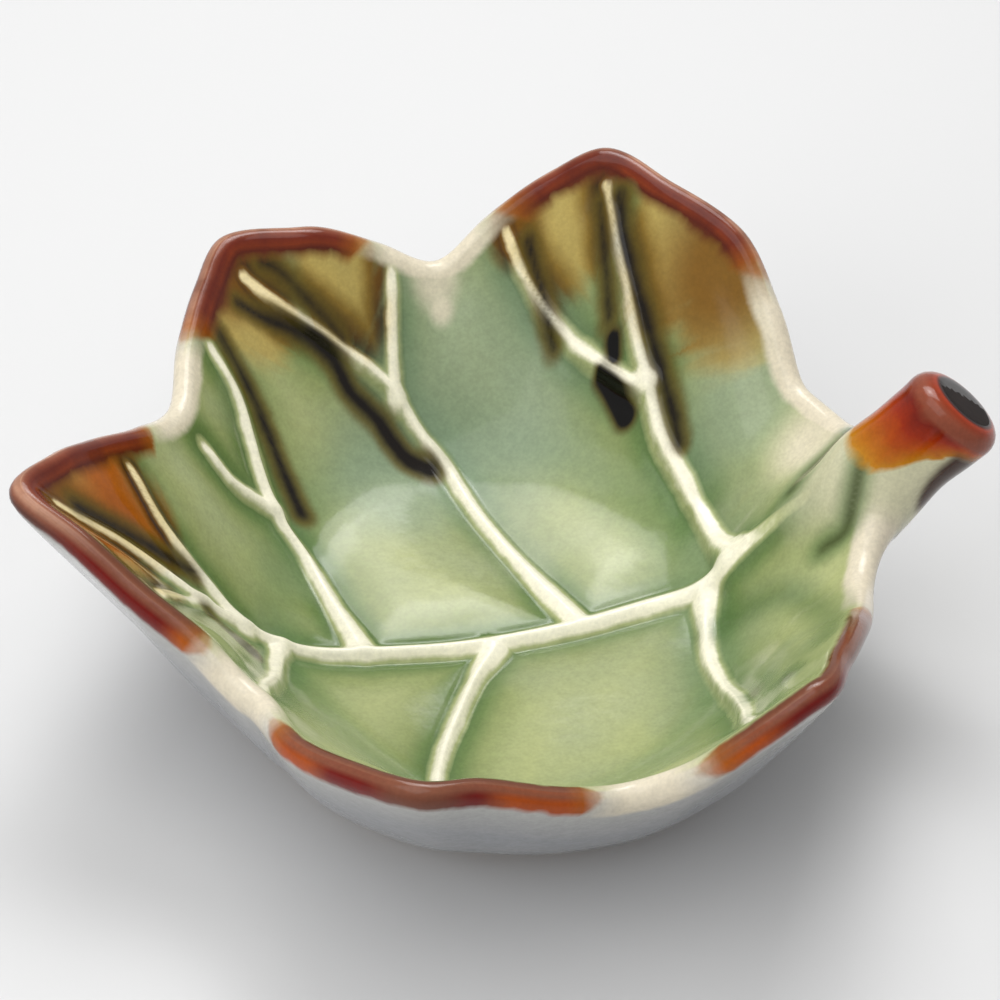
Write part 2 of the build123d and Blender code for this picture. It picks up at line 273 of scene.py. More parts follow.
# The relief of the inside: each vein a soft ridge, a shallow valley beside it, and the panels between them
# puffed up like small pillows that sink again towards the lip.
PILLOW_STAND, PILLOW_SPREAD = 1.1, 5.5
PILLOW_OFF_LIP, PILLOW_LIP_SHARE = 1.5, 0.9
VALLEY_DEPTH, VALLEY_OFF, VALLEY_WIDTH = 0.15, 0.9, 0.6
SOFT_JOIN = 1.3
RIDGE_SPREAD = 1.7
ROOT_SHARE, ROOT_FLARE, MIDRIB_ROOT_THIN = 0.17, 0.6, 0.35
TIP_SHARE, TIP_STAND_LEAST = 0.93, 0.45
FLOOR_HOLLOW = 1.0
WALL_SLOPE, RELIEF_OFF_LIP = 1.4, 3.5


def vein_relief(px, py):
    """The ridge's height at points of the inside, and the distance from the nearest vein's edge, plain and
    with its creases between veins smoothed away."""
    ridge = np.zeros(len(px))
    edge = np.full(len(px), 99.0)
    crowd = np.full(len(px), 1e-9)
    for width, stand, shares in VEINS:
        away, along = off_line(px, py, smooth_line(np.array(shares) * LEAF_REACH))
        root = ease(ROOT_SHARE, 0.0, along)
        half = (width + (TIP_WIDTH - width) * along) / 2
        half = half * (1 - MIDRIB_ROOT_THIN * root) if width == MIDRIB_WIDTH else half + ROOT_FLARE * root
        tall = stand * (TIP_STAND_LEAST + (1 - TIP_STAND_LEAST) * np.sqrt(half * 2 / width))
        tall = tall * ease(1.0, TIP_SHARE, along)
        ridge = np.cbrt(ridge ** 3 + (tall * ease(RIDGE_SPREAD, 0.0, away / half)) ** 3)
        edge = np.minimum(edge, away - half)
        crowd += np.exp(-(away - half) / SOFT_JOIN)
    return ridge, edge, -SOFT_JOIN * np.log(crowd)


inside = np.flatnonzero(on_inside)
ridge, edge, soft_edge = vein_relief(x[inside], y[inside])
lip_gap = (inner_lip(angle[inside]) - run[inside]) * WALL_SLOPE
lip_free = (lip_gap - PILLOW_OFF_LIP) * PILLOW_LIP_SHARE
free = -SOFT_JOIN * np.log(np.exp(-soft_edge / SOFT_JOIN) + np.exp(-lip_free / SOFT_JOIN))
pillow = PILLOW_STAND * (1 - np.exp(-(np.maximum(free, 0) / PILLOW_SPREAD) ** 2))
valley = VALLEY_DEPTH * np.exp(-((edge - VALLEY_OFF) / VALLEY_WIDTH) ** 2)
turn_reach = oval_reach(angle[inside], *FLOOR)
hollow = FLOOR_HOLLOW * (np.minimum(run[inside] / turn_reach, 1) ** 2 - 1)
relief = np.zeros(len(grid))
relief[inside] = (ridge + pillow - valley + hollow) * ease(0.0, RELIEF_OFF_LIP, lip_gap)

# The relief stands square to the inside.
STEP = 0.05
here = inner_face(angle[inside], run[inside])
rise_run = (inner_face(angle[inside], run[inside] + STEP) - here) / STEP
turn_step = np.degrees(STEP / np.maximum(run[inside], 1.0))
rise_round = (inner_face(angle[inside] + turn_step, run[inside]) - here) / STEP
c, s = np.cos(np.radians(angle[inside])), np.sin(np.radians(angle[inside]))
normal = np.stack([-rise_run * c + rise_round * s, -rise_run * s - rise_round * c,
                   np.ones(len(inside))], axis=1)
normal /= np.linalg.norm(normal, axis=1, keepdims=True)
points = np.stack([x, y, height], axis=1)
points[inside] += normal * relief[inside][:, None]

# The skin is drawn in by a hair, so that its overall size stays within the solids'.
FIRED_SHARE = 0.999
GRID_MERGE = 0.002
write_points(dish, (points * FIRED_SHARE + [WELL_X, WELL_Y, 0]) * MM)
bpy.ops.object.mode_set(mode="EDIT")
bpy.ops.mesh.select_all(action="SELECT")
bpy.ops.mesh.remove_doubles(threshold=GRID_MERGE * MM)
bpy.ops.mesh.normals_make_consistent(inside=False)
bpy.ops.object.mode_set(mode="OBJECT")

# The stalk: a thick round handle of the same clay, luted over the lip and down the inside of the wall, its
# seam smoothed with a wet finger so that the lip flows up into it on both sides. Its end is cut off flat.
STALK_ROOT = np.array([34.0, 0.0, FOOT_HEIGHT + WALL + 5.0])
STALK_OVERHANG, STALK_STAND, STALK_SIDE = 9.9, 12.0, 2.4
STALK_PATH_SHARES = [
    (0, 0, 0), (0.25, 0.06, 0.15), (0.43, 0.17, 0.34), (0.60, 0.36, 0.54), (0.76, 0.60, 0.73),
    (0.89, 0.83, 0.87), (1, 1, 1)]
STALK_RADII = [2.2, 4.3, 5.2, 6.1, 6.3, 6.5, 6.7]
STALK_END_ROUND = 2.6
STALK_END_PLAIN = 8
STALK_FACE_SHARES = [0.8, 0.6, 0.4, 0.15]
STALK_SIDES = 72
stalk_end = np.array([along_lip(np.zeros(1), 1)[0] + STALK_OVERHANG, -STALK_SIDE,
                      FOOT_HEIGHT + along_lip(np.zeros(1), 2)[0] + STALK_STAND])
stalk_keys = STALK_ROOT + (stalk_end - STALK_ROOT) * np.array(STALK_PATH_SHARES)
stalk_line = smooth_line(np.column_stack([stalk_keys, STALK_RADII]), steps=10)
stalk_ways = np.gradient(stalk_line[:, :3], axis=0)
stalk_ways /= np.linalg.norm(stalk_ways, axis=1, keepdims=True)
stalk_pitch = np.arctan2(stalk_ways[:, 2], stalk_ways[:, 0])

# Its stations follow the path to STALK_END_PLAIN stations before its end, then the rounding of the end, and
# then close the flat face ring by ring.
turns = np.linspace(0, np.pi / 2, 7)
face_radius = STALK_RADII[-1] - STALK_END_ROUND
end_steps = [(STALK_END_ROUND * (1 - np.sin(turn)), face_radius + STALK_END_ROUND * np.cos(turn))
             for turn in turns]
end_steps += [(0, face_radius * share) for share in STALK_FACE_SHARES]
stations = [(spot[:3], spot[3], pitch) for spot, pitch in zip(stalk_line[:-STALK_END_PLAIN], stalk_pitch)]
stations += [(stalk_end - stalk_ways[-1] * short, radius, stalk_pitch[-1]) for short, radius in end_steps]
stations = [((spot + [WELL_X, WELL_Y, 0]) * MM, radius, pitch) for spot, radius, pitch in stations]

bpy.ops.object.select_all(action="DESELECT")
bpy.ops.mesh.primitive_circle_add(
    vertices=STALK_SIDES, radius=stations[0][1] * MM, fill_type="NGON", location=stations[0][0],
    rotation=(0, math.pi / 2 - stations[0][2], 0))
stalk = bpy.context.object
stalk.name = "stalk_clay"
bpy.ops.object.transform_apply(location=True, rotation=True, scale=True)
bpy.ops.object.mode_set(mode="EDIT")
for (last_spot, last_radius, last_pitch), (spot, radius, pitch) in zip(stations, stations[1:]):
    bpy.ops.mesh.extrude_region_move(TRANSFORM_OT_translate={"value": spot - last_spot})
    bpy.ops.transform.rotate(value=pitch - last_pitch, orient_axis="Y", center_override=spot)
    bpy.ops.transform.resize(value=[radius / last_radius] * 3, center_override=spot)
bpy.ops.mesh.select_all(action="SELECT")
bpy.ops.mesh.normals_make_consistent(inside=False)
bpy.ops.object.mode_set(mode="OBJECT")
depsgraph = bpy.context.evaluated_depsgraph_get()
dish_skin = BVHTree.FromObject(dish, depsgraph)
stalk_skin = BVHTree.FromObject(stalk, depsgraph)

# The two are joined, and the seam between them is filled: each point near both is moved out to where a soft
# union of the two shapes has its surface.
SEAM_FILL, FILL_PASSES, LEAST_WAY = 8.0, 5, 0.3
STALK_AREA_BACK, STALK_AREA_SIDE = 14.0, 22.0
joint = dish.modifiers.new("luting", "BOOLEAN")
joint.operation = "UNION"
joint.solver = "EXACT"
joint.object = stalk
bpy.context.view_layer.objects.active = dish
bpy.ops.object.modifier_apply(modifier=joint.name)
bpy.data.objects.remove(stalk)


def off_skin(skin, point):
    """A point's signed distance from a skin in millimetres, and the way out of it there."""
    spot, out, _, away = skin.find_nearest(point)
    if away < 1e-7:
        return 0.0, out
    side = 1 if (point - spot).dot(out) > 0 else -1
    return side * away / MM, (point - spot) * (side / away)


points = read_points(dish) / MM
near_stalk = np.flatnonzero((points[:, 0] > stalk_line[0, 0] + WELL_X - STALK_AREA_BACK)
                            & (np.abs(points[:, 1] - WELL_Y) < STALK_AREA_SIDE))
for i in near_stalk:
    spot = Vector(points[i] * MM)
    from_stalk, way_stalk = off_skin(stalk_skin, spot)
    if from_stalk > SEAM_FILL:
        continue
    for _ in range(FILL_PASSES):
        from_dish, way_dish = off_skin(dish_skin, spot)
        from_stalk, way_stalk = off_skin(stalk_skin, spot)
        share = min(max(0.5 + 0.5 * (from_dish - from_stalk) / SEAM_FILL, 0.0), 1.0)
        gap = from_dish + (from_stalk - from_dish) * share - SEAM_FILL * share * (1 - share)
        way = way_dish.lerp(way_stalk, share)
        spot -= way * (gap * MM / max(way.length_squared, LEAST_WAY))
    points[i] = np.array(spot) / MM

# Two grooves were pressed beside the stalk where it meets the floor of the dish, as shares of the reach.
GROOVE_DEPTH, GROOVE_HALF_WIDTH, GROOVE_ABOVE_FLOOR = 0.6, 1.6, 1.0
GROOVE_FULL_SHARE, GROOVE_FADE_SHARE = 0.25, 0.7
GROOVES = [
    [(0.80, 0.115), (0.769, 0.099), (0.71, 0.081), (0.653, 0.044)],
    [(0.79, -0.01), (0.774, -0.034), (0.749, -0.076), (0.717, -0.13), (0.671, -0.134)]]
write_points(dish, points * MM)
outward = np.empty(len(points) * 3)
dish.data.vertex_normals.foreach_get("vector", outward)
outward = outward.reshape(-1, 3)[near_stalk]
near = points[near_stalk] - [WELL_X, WELL_Y, 0]
on_top = near[:, 2] > FOOT_HEIGHT + WALL + GROOVE_ABOVE_FLOOR
for shares in GROOVES:
    away, along = off_line(near[:, 0], near[:, 1], smooth_line(np.array(shares) * LEAF_REACH))
    press = GROOVE_DEPTH * np.exp(-(away / GROOVE_HALF_WIDTH) ** 2)
    press *= ease(0.0, GROOVE_FULL_SHARE, along) * ease(1.0, GROOVE_FADE_SHARE, along)
    points[near_stalk] -= outward * (press * on_top)[:, None]
write_points(dish, points * MM)

# The whole dish was sponged smooth before it dried, and crumbs and slivers along the seam are wiped off.
CRUMB, SLIVER = 0.06, 0.02
bpy.ops.object.select_all(action="DESELECT")
dish.select_set(True)
bpy.ops.object.mode_set(mode="EDIT")
bpy.ops.mesh.select_all(action="SELECT")
bpy.ops.mesh.vertices_smooth(factor=0.5, repeat=4)
bpy.ops.mesh.remove_doubles(threshold=CRUMB * MM)
bpy.ops.mesh.dissolve_degenerate(threshold=SLIVER * MM)
bpy.ops.mesh.normals_make_consistent(inside=False)

# Where the stalk's root runs out into the floor, the seam folds over itself in two places, each told by its
# spot and its radius. These are wiped flat.
FOLDS = [((31.8, -2.9, 13.2), 3.2), ((34.0, 3.8, 14.9), 1.6)]
FOLD_MERGE = 0.5
bpy.ops.mesh.select_mode(type="VERT")
bpy.ops.mesh.select_all(action="DESELECT")
bpy.ops.object.mode_set(mode="OBJECT")
points = read_points(dish) / MM - [WELL_X, WELL_Y, 0]
folded = np.any([np.linalg.norm(points - spot, axis=1) < radius for spot, radius in FOLDS], axis=0)
dish.data.vertices.foreach_set("select", folded)
bpy.ops.object.mode_set(mode="EDIT")
bpy.ops.mesh.remove_doubles(threshold=FOLD_MERGE * MM)
bpy.ops.mesh.vertices_smooth(factor=0.5, repeat=20)
bpy.ops.mesh.select_all(action="SELECT")
bpy.ops.mesh.normals_make_consistent(inside=False)
bpy.ops.object.mode_set(mode="OBJECT")
bpy.ops.object.shade_smooth()
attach(dish, "root")
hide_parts("leaf_bowl", "stalk",
            *[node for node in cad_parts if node.startswith(("midrib", "rib_", "twig_"))])

# Where the glaze lies thick or thin is worked out here, point by point, and kept on the mesh: how far each
# point is from the nearest vein, the lip and the iron runs, in millimetres, and where the iron wash lies.
spots = read_points(dish) / MM
spots[:, 0] -= WELL_X
spots[:, 1] -= WELL_Y
run = np.hypot(spots[:, 0], spots[:, 1])
angle = np.degrees(np.arctan2(spots[:, 1], spots[:, 0]))
reach_in = np.minimum(run, inner_lip(angle))
middle_height = (inner_face(angle, reach_in) + outer_face(angle, reach_in)) / 2
faces_in = (run < along_lip(angle, 1)) & (spots[:, 2] > middle_height)


def keep(name, values):
    """A value for each point of the dish, kept on its mesh."""
    kind = "FLOAT_VECTOR" if values.ndim == 2 else "FLOAT"
    layer = dish.data.attributes.new(name, kind, "POINT")
    layer.data.foreach_set("vector" if values.ndim == 2 else "value", np.ascontiguousarray(values).ravel())


lip_angles = np.arange(-180, 180, 0.25)
lip_in, lip_out = inner_lip(lip_angles), outer_lip(lip_angles)
lip_in_top, lip_out_top = inner_face(lip_angles, lip_in), outer_face(lip_angles, lip_out)
crest_run = (lip_in + lip_out) / 2 + (lip_in_top - lip_out_top) / 2
crest_top = (lip_in_top + lip_out_top) / 2 - (lip_in - lip_out) / 2
crest = np.stack([crest_run * np.cos(np.radians(lip_angles)), crest_run * np.sin(np.radians(lip_angles)),
                  crest_top], axis=1)
crest_tree = KDTree(len(crest))
for i, spot in enumerate(crest):
    crest_tree.insert(spot, i)
crest_tree.balance()
nearest = [crest_tree.find(spot)[1:] for spot in spots]
crest_at = np.array([found[0] for found in nearest])
crest_away = np.array([found[1] for found in nearest])
keep("lip_mm", np.where(faces_in, crest_away, -crest_away))

# Patterns that follow lip_place are drawn out down the lip.
DRAWN_OUT_SHARE = 0.12
keep("lip_place", np.column_stack([crest[crest_at, :2], crest_away * DRAWN_OUT_SHARE]) * MM)

# The iron wash was brushed on the lobes' lips only, and ran: each window is a stretch of the lip, from one
# angle to another, and each kind fades over so many degrees on either side of its ends. On the outside the
# wash burned amber in some stretches and dark red in others. near_lip tells the near lips from the far ones.
WINDOWS = {
    "iron": (8.0, [(152, 208), (95, 131), (36, 78), (223, 271), (282, 327)]),
    "amber": (2.5, [(203, 212), (224, 234), (257, 272), (281, 290)]),
    "red": (2.5, [(185, 203), (234, 243), (252, 257), (289, 304), (322, 327)]),
    "near_lip": (5.0, [(187, 336)])}

# The wash reaches further inwards on the far lips than on the near ones, and little down the outside; its
# reach is told in one measure, in which it ends at WASH_END on every side.
NEAR_WASH = (5.0, [(214, 336)])
WASH_END = 4.8
WASH_INSIDE_FAR, WASH_INSIDE_NEAR, WASH_OUTSIDE = 4.0, 1.8, 2.7


def window_share(softness, windows):
    """How far the lip beside each point lies inside any of some windows, from 0 to 1."""
    share = np.zeros(len(spots))
    for start, end in windows:
        half = (end - start) / 2
        off_middle = np.abs((lip_angles[crest_at] - (start + end) / 2 + 180) % 360 - 180)
        share = np.maximum(share, ease(half + softness, half - softness, off_middle))
    return share


for name, window in WINDOWS.items():
    keep(name, window_share(*window))
near_wash = window_share(*NEAR_WASH)
wash_inside = WASH_INSIDE_FAR + (WASH_INSIDE_NEAR - WASH_INSIDE_FAR) * near_wash
keep("wash_mm", crest_away * WASH_END / np.where(faces_in, wash_inside, WASH_OUTSIDE))

# The midrib's cream fades out towards the stalk. Where a point is far from every vein, or on the outside,
# its distance is kept as FAR_OFF.
FAR_OFF = 12.0
CREAM_LEAST, ROOT_FADE = -0.4, 1.1
FADE_FROM_SHARE, FADE_TO_SHARE, FADE_OUTER_SHARE, FADE_INNER_SHARE = 0.50, 0.67, 0.16, 0.10
_, vein_edge, _ = vein_relief(spots[:, 0], spots[:, 1])
fade = ease(FADE_FROM_SHARE, FADE_TO_SHARE, spots[:, 0] / LEAF_REACH)
fade *= ease(FADE_OUTER_SHARE, FADE_INNER_SHARE, np.abs(spots[:, 1]) / LEAF_REACH)
keep("vein_mm", np.where(faces_in, np.clip(vein_edge, CREAM_LEAST, FAR_OFF) + ROOT_FADE * fade, FAR_OFF))

# The turn of the floor, where glaze pools.
POOL_SPREAD = 4.5
turn_off = run - oval_reach(angle, *FLOOR)
keep("pool", np.exp(-(turn_off / POOL_SPREAD) ** 2) * faces_in)

# The warm zones inside the lobes are honey, umber and rust. The cream ran down a little into the far notch,
# and lies wide where the lip meets the stalk. On the far wall the celadon is bluer. Each zone is a centre as
# shares of the leaf's reach and a radius, of which two shares tell where its colour begins and is full.
ZONES = {
    "honey": (1.25, 0.45, [
        (0.57, 0.67, 9.5), (0.66, 0.53, 9), (0.35, 0.82, 8), (0.25, 0.86, 5), (-0.16, 0.80, 7.5),
        (-0.38, 0.76, 8), (-0.76, 0.11, 9), (-0.78, -0.09, 8), (-0.87, 0.03, 7)]),
    "umber": (1.2, 0.3, [
        (0.64, 0.58, 11), (0.24, 0.88, 5), (0.36, 0.94, 4.5), (-0.43, 0.77, 5), (-0.30, 0.86, 4.5),
        (-0.02, 0.83, 5), (-0.91, 0.01, 7), (-0.84, 0.16, 4)]),
    "rust": (1.2, 0.3, [(-0.76, 0.13, 8.5), (-0.83, -0.06, 7)]),
    "cream": (1.3, 0.35, [(0.055, 0.82, 3.4), (0.062, 0.775, 1.9), (0.75, 0.17, 6.5)]),
    "blue": (1.2, 0.3, [(0.12, 0.62, 17), (-0.10, 0.48, 11), (0.64, 0.36, 10)])}
for name, (from_share, full_share, zones) in ZONES.items():
    share = np.zeros(len(spots))
    for zone_x, zone_y, radius in zones:
        away = np.hypot(spots[:, 0] - zone_x * LEAF_REACH, spots[:, 1] - zone_y * LEAF_REACH)
        share = np.maximum(share, ease(radius * from_share, radius * full_share, away))
    keep(name, share * faces_in)

# The dark runs, where iron gathered beside the veins and ran down, the black drops it left, the thin olive
# lines in the grooves and on the near wall, and a dark green band along the near wall's foot, which is
# painted shade over glaze pooled there. Each stroke has a width at each end and a path in plan, and each
# point keeps how far it lies outside the strokes of a kind.
UNDER_FACE = 1.0
above = spots[:, 2] > inner_face(angle, reach_in) - UNDER_FACE
STROKES = {
    "run_mm": (faces_in, [
        (1.3, 2.9, [
            (-0.395, 0.747), (-0.286, 0.733), (-0.202, 0.694), (-0.165, 0.645), (-0.108, 0.612),
            (-0.057, 0.554), (-0.008, 0.529)]),
        (1.1, 0.8, [(-0.33, 0.825), (-0.291, 0.807), (-0.227, 0.756), (-0.169, 0.716)]),
        (1.2, 2.0, [(-0.453, 0.67), (-0.398, 0.595), (-0.36, 0.511), (-0.319, 0.398)]),
        (1.6, 1.2, [(-0.857, 0.029), (-0.785, 0.04), (-0.711, 0.051), (-0.616, 0.06)]),
        (0.6, 0.9, [(-0.612, -0.02), (-0.585, -0.05), (-0.56, -0.085)]),
        (0.9, 1.1, [(0.417, 0.811), (0.414, 0.72), (0.407, 0.64)]),
        (1.8, 1.4, [
            (0.458, 0.802), (0.455, 0.724), (0.472, 0.62), (0.487, 0.537), (0.50, 0.444), (0.504, 0.365)]),
        (1.2, 1.4, [(0.265, 0.822), (0.281, 0.736), (0.29, 0.66)])]),
    "drop_mm": (faces_in, [
        (1.5, 2.3, [(0.378, 0.565), (0.395, 0.525), (0.412, 0.478)]),
        (1.5, 1.3, [(0.409, 0.605), (0.406, 0.578)]),
        (2.4, 3.4, [(-0.562, -0.078), (-0.535, -0.096)])]),
    "olive_mm": (above, [(1.3, 1.0, shares) for shares in GROOVES] + [
        (0.7, 0.9, [(0.437, -0.455), (0.428, -0.50)]),
        (0.7, 0.9, [(0.445, -0.59), (0.437, -0.64)])]),
    "pool_and_shade_mm": (faces_in, [
        (2.6, 2.0, [
            (0.465, -0.11), (0.52, -0.12), (0.585, -0.17), (0.615, -0.28), (0.60, -0.42), (0.54, -0.56)])])}
for name, (shown, strokes) in STROKES.items():
    nearest = np.full(len(spots), FAR_OFF)
    for start_width, end_width, shares in strokes:
        away, along = off_line(spots[:, 0], spots[:, 1], smooth_line(np.array(shares) * LEAF_REACH))
        nearest = np.minimum(nearest, away - (start_width + (end_width - start_width) * along) / 2)
    keep(name, np.where(shown, nearest, FAR_OFF))

# On the stalk, each point's place is told by its way back from the cut end, its distance off the axis and
# its turn round it. Its glaze begins STALK_SKIN_FROM outside its radius, and is full at STALK_SKIN_FULL.
FAR_BACK = 60.0
STALK_SKIN_FROM, STALK_SKIN_FULL = 3.5, 0.8
from_end = np.full(len(spots), FAR_BACK)
off_axis = np.zeros(len(spots))
on_stalk = np.zeros(len(spots))
round_stalk = np.zeros(len(spots))
axis_lengths = np.concatenate([[0], np.cumsum(np.linalg.norm(np.diff(stalk_line[:, :3], axis=0), axis=1))])
end_way = stalk_ways[-1]
close = (spots[:, 0] > stalk_line[0, 0] - STALK_AREA_BACK) & (np.abs(spots[:, 1]) < STALK_AREA_SIDE)
for i in np.flatnonzero(close):
    offsets = spots[i] - stalk_line[:, :3]
    gaps = np.linalg.norm(offsets, axis=1)
    k = gaps.argmin()
    past = offsets[-1] @ end_way
    from_end[i] = axis_lengths[-1] - axis_lengths[k] if k < len(gaps) - 1 else -past
    off_axis[i] = gaps[k] if k < len(gaps) - 1 else np.sqrt(max(gaps[k] ** 2 - past ** 2, 0))
    on_stalk[i] = ease(stalk_line[k, 3] + STALK_SKIN_FROM, stalk_line[k, 3] + STALK_SKIN_FULL, gaps[k])
    upper = offsets[k] @ [-math.sin(stalk_pitch[k]), 0, math.cos(stalk_pitch[k])]
    round_stalk[i] = math.degrees(math.atan2(upper, -offsets[k][1]))
keep("stalk", on_stalk)
keep("from_end_mm", from_end)
keep("off_axis_mm", off_axis)

# The dip in iron reaches further back over the stalk's top than over its near side, where a dark run lies.
DIP_TOP, DIP_SIDE = 14.0, 4.0
DIP_TOP_TURN, DIP_SIDE_TURN = 65, -5
dip_reach = DIP_TOP - (DIP_TOP - DIP_SIDE) * ease(DIP_TOP_TURN, DIP_SIDE_TURN, round_stalk)
keep("dip_share", from_end / dip_reach)
SIDE_RUN_FROM, SIDE_RUN_FULL, SIDE_RUN_FADE, SIDE_RUN_TO = 2.5, 4.5, 12.0, 15.0
SIDE_RUN_MIDDLE, SIDE_RUN_HALF, SIDE_RUN_OUTER, SIDE_RUN_INNER = -40.0, 46.0, 6.0, -8.0
run_half = SIDE_RUN_HALF * np.sqrt(np.clip(1 - (from_end / SIDE_RUN_TO) ** 2, 0, 1))
off_run = np.abs(round_stalk - SIDE_RUN_MIDDLE) - run_half
keep("side_run", ease(SIDE_RUN_OUTER, SIDE_RUN_INNER, off_run) * on_stalk
     * ease(SIDE_RUN_FROM, SIDE_RUN_FULL, from_end) * ease(SIDE_RUN_TO, SIDE_RUN_FADE, from_end))

# Between the dip and the lip, the stalk's neck is pale.
NECK_FROM, NECK_FULL = 33, 16
keep("neck", on_stalk * ease(NECK_FROM, NECK_FULL, from_end))


def linear(hex_colour):
    """A hex sRGB colour as linear red, green, blue and alpha."""
    parts = [int(hex_colour[i:i + 2], 16) / 255 for i in (1, 3, 5)]
    return [p / 12.92 if p <= 0.04045 else ((p + 0.055) / 1.055) ** 2.4 for p in parts] + [1.0]


def feed(tree, node, inputs):
    """Sets some inputs of a node, each to a value or to another node's output."""
    for name, value in inputs.items():
        if isinstance(value, bpy.types.NodeSocket):
            tree.links.new(value, node.inputs[name])
        else:
            node.inputs[name].default_value = value


def add_node(tree, kind, output, inputs=None, stops=None, **settings):
    """Adds a node with its settings, its inputs and a ramp's stops, the two at its ends first, and gives
    back the output of that name or number."""
    node = tree.nodes.new("ShaderNode" + kind)
    for name, value in settings.items():
        setattr(node, name, value)
    feed(tree, node, inputs or {})
    for i, (at, colour) in enumerate(stops or []):
        ramp = node.color_ramp.elements
        stop = ramp[i] if i < 2 else ramp.new(at)
        stop.position = at
        stop.color = linear(colour)
    return node.outputs[output]


def start_material(piece, name):
    """A new material on a piece: its tree, its shader, and the place in the piece that patterns follow."""
    material = bpy.data.materials.new(name)
    material.use_nodes = True
    piece.data.materials.append(material)
    tree = material.node_tree
    return tree, tree.nodes["Principled BSDF"], add_node(tree, "TexCoord", "Object")


# The glazes: a celadon, green where it pools and cream where it runs thin over an edge, an iron wash under
# it on the lips, and a clear glaze over the grey-white clay outside. All are glassy, with a fired ripple.
tree, shader, place = start_material(dish, "celadon_glaze_on_stoneware")
field = {layer.name: add_node(tree, "Attribute", "Fac", attribute_name=layer.name)
         for layer in dish.data.attributes if (layer.data_type, layer.domain) == ("FLOAT", "POINT")}
lip_place = add_node(tree, "Attribute", "Vector", attribute_name="lip_place")

# Its patterns, each with its size in millimetres, its detail, its roughness and the place that it follows.
PATTERNS = [
    ("mottle", 5.0, 3.0, 0.6, place), ("cloud", 16.0, 2.0, 0.5, place), ("speck", 0.45, 1.0, 0.5, place),
    ("grain", 1.3, 2.0, 0.5, place), ("ripple", 2.2, 2.0, 0.5, place),
    ("streak", 2.2, 2.0, 0.5, lip_place), ("drift", 7.0, 2.0, 0.5, lip_place)]
noise = {}
for name, size, detail, roughness, where in PATTERNS:
    noise[name] = add_node(tree, "TexNoise", "Fac", {
        "Vector": where, "Scale": 1 / (size * MM), "Detail": detail, "Roughness": roughness})

# The veins' edges wander with the mottling, and the thickness of the glaze follows them.
wander = add_node(tree, "MapRange", "Result", {
    "Value": noise["mottle"], "From Min": 0.25, "From Max": 0.75, "To Min": -0.25, "To Max": 0.25})
vein = add_node(tree, "Math", 0, {0: field["vein_mm"], 1: wander}, operation="ADD")
thickness = add_node(tree, "MapRange", "Result", {"Value": vein, "From Min": -1.5, "From Max": 10.5})
celadon = add_node(tree, "ValToRGB", "Color", {"Fac": thickness}, stops=[
    (0.0, "#fffaea"), (1.0, "#adb37c"), (0.12, "#f6f1d8"), (0.155, "#a9b07c"), (0.205, "#5d7542"),
    (0.29, "#697f48"), (0.45, "#8e9962"), (0.75, "#a6ad78")])
off_vein = add_node(tree, "MapRange", "Result", {"Value": vein, "From Min": 0.0, "From Max": 1.2})
cloudy = add_node(tree, "MapRange", "Result", {
    "Value": noise["cloud"], "From Min": 0.48, "From Max": 0.68, "To Max": 0.55})

# Honey: over the iron wash, the same thickness of glaze goes from cream through a near black brown to gold.
honey = add_node(tree, "ValToRGB", "Color", {"Fac": thickness}, stops=[
    (0.0, "#fbefcd"), (1.0, "#b4a465"), (0.12, "#ecd9a6"), (0.155, "#6b4a14"), (0.19, "#2e1c08"),
    (0.25, "#523a0e"), (0.35, "#836826"), (0.48, "#b39d57")])
off_outline = add_node(tree, "MapRange", "Result", {"Value": vein, "From Min": 0.7, "From Max": 2.4})

# Both are tinted off the veins. A tint tells its glaze, where it lies, where a vein ends, its most and its
# colour.
glazes = {"celadon": celadon, "honey": honey}
TINTS = [
    ("celadon", cloudy, off_vein, 1.0, "#9ca582"), ("celadon", field["pool"], off_vein, 0.5, "#628052"),
    ("celadon", field["blue"], off_vein, 0.6, "#8c9f8a"),
    ("honey", field["umber"], off_vein, 0.92, "#754c04"),
    ("honey", field["rust"], off_outline, 1.0, "#a4560a")]
for name, where, off, most, colour in TINTS:
    share = add_node(tree, "Math", 0, {0: where, 1: off}, operation="MULTIPLY")
    share = add_node(tree, "Math", 0, {0: share, 1: most}, operation="MULTIPLY")
    glazes[name] = add_node(tree, "Mix", 2, {0: share, 6: glazes[name], 7: linear(colour)}, data_type="RGBA")
feather = add_node(tree, "Math", 0, {0: noise["streak"], 1: 0.9, 2: -0.45}, operation="MULTIPLY_ADD")
honey_edge = add_node(tree, "Math", 0, {0: field["honey"], 1: feather}, operation="ADD")
honey_share = add_node(tree, "MapRange", "Result", {
    "Value": honey_edge, "From Min": 0.1, "From Max": 0.9}, interpolation_type="SMOOTHSTEP")
inner_glaze = add_node(tree, "Mix", 2, {
    0: honey_share, 6: glazes["celadon"], 7: glazes["honey"]}, data_type="RGBA")

# The clear glaze outside, over grey-white clay. It is painted lighter and warmer towards the lip and darker
# towards the base: painted shade under the belly.
outer_glaze = add_node(tree, "Mix", 2, {
    0: noise["mottle"], 6: linear("#92959a"), 7: linear("#a3a4a6")}, data_type="RGBA")
upper = add_node(tree, "MapRange", "Result", {
    "Value": field["lip_mm"], "From Min": -13.0, "From Max": -3.0, "To Max": 0.8})
outer_glaze = add_node(tree, "Mix", 2, {0: upper, 6: outer_glaze, 7: linear("#b9b8b2")}, data_type="RGBA")
lip_in = add_node(tree, "MapRange", "Result", {"Value": field["lip_mm"], "From Min": -0.6, "From Max": 0.6})
body = add_node(tree, "Mix", 2, {0: lip_in, 6: outer_glaze, 7: inner_glaze}, data_type="RGBA")

